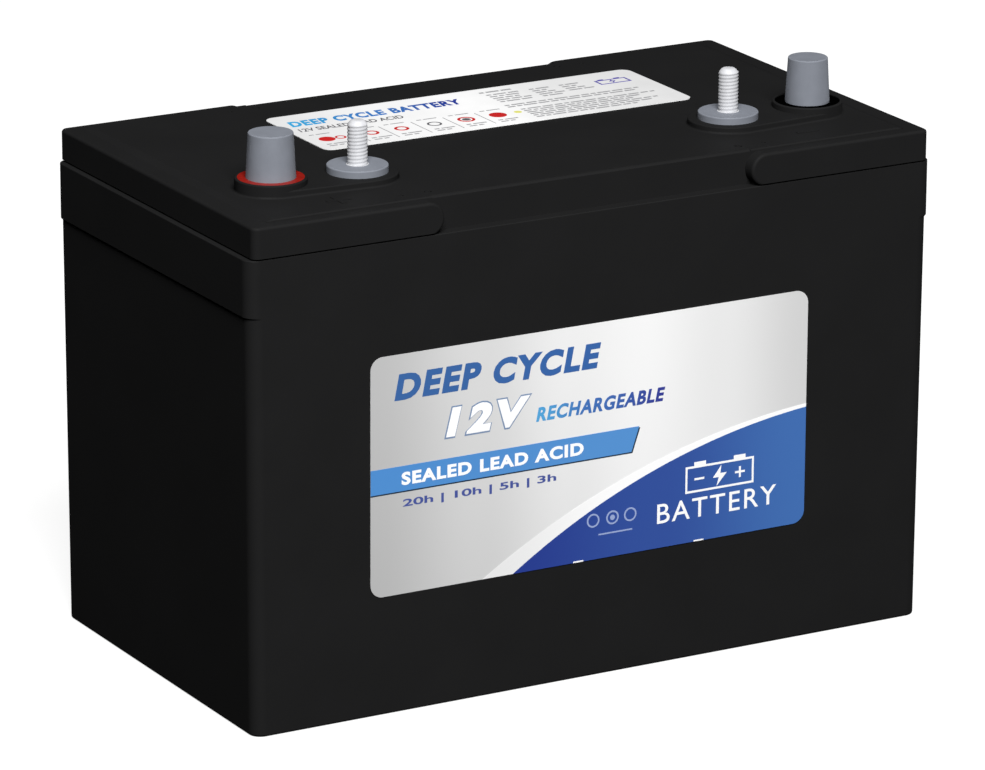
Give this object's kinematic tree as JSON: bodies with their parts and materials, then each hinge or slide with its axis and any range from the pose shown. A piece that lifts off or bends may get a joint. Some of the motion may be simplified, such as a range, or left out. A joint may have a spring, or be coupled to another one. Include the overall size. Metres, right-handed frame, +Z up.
{
  "type": "deep cycle battery",
  "caption": "Black box-shaped sealed lead battery with two tapered posts, two threaded studs, a lid with corner pads and two labels.",
  "frame": {"origin": "centre of the underside", "axes": "+X along the length from the positive to the negative terminals, the labelled front faces -Y, +Z up"},
  "size_m": [0.306, 0.167, 0.2277],
  "materials": {
    "case_plastic": "satin",
    "lid_plastic": "satin",
    "cast_lead": "satin",
    "stud_steel": "satin",
    "ring_red": "satin",
    "ring_black": "satin",
    "front_print": "gloss",
    "top_print": "gloss",
    "valve_rubber": "matte",
    "seal_rubber": "matte",
    "positive_paste": "matte",
    "negative_paste": "matte",
    "glass_mat": "matte"
  },
  "bodies": {
    "battery": {"case": "case_plastic", "lid": "lid_plastic", "valve_cover": "lid_plastic", "front_label": "front_print", "top_label": "top_print", "intercell_welds": "cast_lead", "positive_post": "cast_lead", "positive_riser": "cast_lead", "positive_post_seal": "seal_rubber", "positive_ring": "ring_red", "positive_stud_pad": "cast_lead", "positive_stud": "stud_steel", "positive_link": "cast_lead", "negative_post": "cast_lead", "negative_riser": "cast_lead", "negative_post_seal": "seal_rubber", "negative_ring": "ring_black", "negative_stud_pad": "cast_lead", "negative_stud": "stud_steel", "negative_link": "cast_lead", "positive_plates_1": "positive_paste", "negative_plates_1": "negative_paste", "separators_1": "glass_mat", "positive_strap_1": "cast_lead", "negative_strap_1": "cast_lead", "positive_plates_2": "positive_paste", "negative_plates_2": "negative_paste", "separators_2": "glass_mat", "positive_strap_2": "cast_lead", "negative_strap_2": "cast_lead", "positive_plates_3": "positive_paste", "negative_plates_3": "negative_paste", "separators_3": "glass_mat", "positive_strap_3": "cast_lead", "negative_strap_3": "cast_lead", "positive_plates_4": "positive_paste", "negative_plates_4": "negative_paste", "separators_4": "glass_mat", "positive_strap_4": "cast_lead", "negative_strap_4": "cast_lead", "positive_plates_5": "positive_paste", "negative_plates_5": "negative_paste", "separators_5": "glass_mat", "positive_strap_5": "cast_lead", "negative_strap_5": "cast_lead", "positive_plates_6": "positive_paste", "negative_plates_6": "negative_paste", "separators_6": "glass_mat", "positive_strap_6": "cast_lead", "negative_strap_6": "cast_lead"},
    "relief_valve_1": {"relief_valve_1": "valve_rubber"},
    "relief_valve_2": {"relief_valve_2": "valve_rubber"},
    "relief_valve_3": {"relief_valve_3": "valve_rubber"},
    "relief_valve_4": {"relief_valve_4": "valve_rubber"},
    "relief_valve_5": {"relief_valve_5": "valve_rubber"},
    "relief_valve_6": {"relief_valve_6": "valve_rubber"}
  },
  "joints": [
    {"name": "relief_valve_1_lift", "type": "slide", "parent": "battery", "child": "relief_valve_1", "axis": [0, 0, 1], "range_m": [0, 0.0008], "stiffness_N_per_m": 500, "springref_m": -0.0013},
    {"name": "relief_valve_2_lift", "type": "slide", "parent": "battery", "child": "relief_valve_2", "axis": [0, 0, 1], "range_m": [0, 0.0008], "stiffness_N_per_m": 500, "springref_m": -0.0013},
    {"name": "relief_valve_3_lift", "type": "slide", "parent": "battery", "child": "relief_valve_3", "axis": [0, 0, 1], "range_m": [0, 0.0008], "stiffness_N_per_m": 500, "springref_m": -0.0013},
    {"name": "relief_valve_4_lift", "type": "slide", "parent": "battery", "child": "relief_valve_4", "axis": [0, 0, 1], "range_m": [0, 0.0008], "stiffness_N_per_m": 500, "springref_m": -0.0013},
    {"name": "relief_valve_5_lift", "type": "slide", "parent": "battery", "child": "relief_valve_5", "axis": [0, 0, 1], "range_m": [0, 0.0008], "stiffness_N_per_m": 500, "springref_m": -0.0013},
    {"name": "relief_valve_6_lift", "type": "slide", "parent": "battery", "child": "relief_valve_6", "axis": [0, 0, 1], "range_m": [0, 0.0008], "stiffness_N_per_m": 500, "springref_m": -0.0013}
  ]
}
